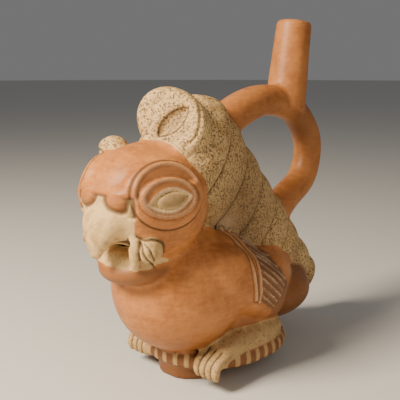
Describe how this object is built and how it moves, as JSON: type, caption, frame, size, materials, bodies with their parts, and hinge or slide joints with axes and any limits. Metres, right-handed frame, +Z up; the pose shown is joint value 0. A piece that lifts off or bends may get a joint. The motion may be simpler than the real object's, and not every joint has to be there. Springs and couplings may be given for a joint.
{
  "type": "stirrup spout vessel",
  "caption": "Hollow fired-clay bottle shaped as a squatting hook-beaked bird with a spired shell on its back, a stirrup handle and a tubular spout, standing on a low foot.",
  "frame": {"origin": "centre of the flat underside of the foot, on the surface the vessel stands on", "axes": "+Z up; the bird faces -Y; +X towards the bird's left side"},
  "size_m": [0.0932, 0.2127, 0.2203],
  "materials": {
    "slipped_clay": "burnished orange-brown slip with cream slip on the shell, beak and feet"
  },
  "bodies": {
    "root": {"vessel": "slipped_clay"}
  },
  "joints": []
}
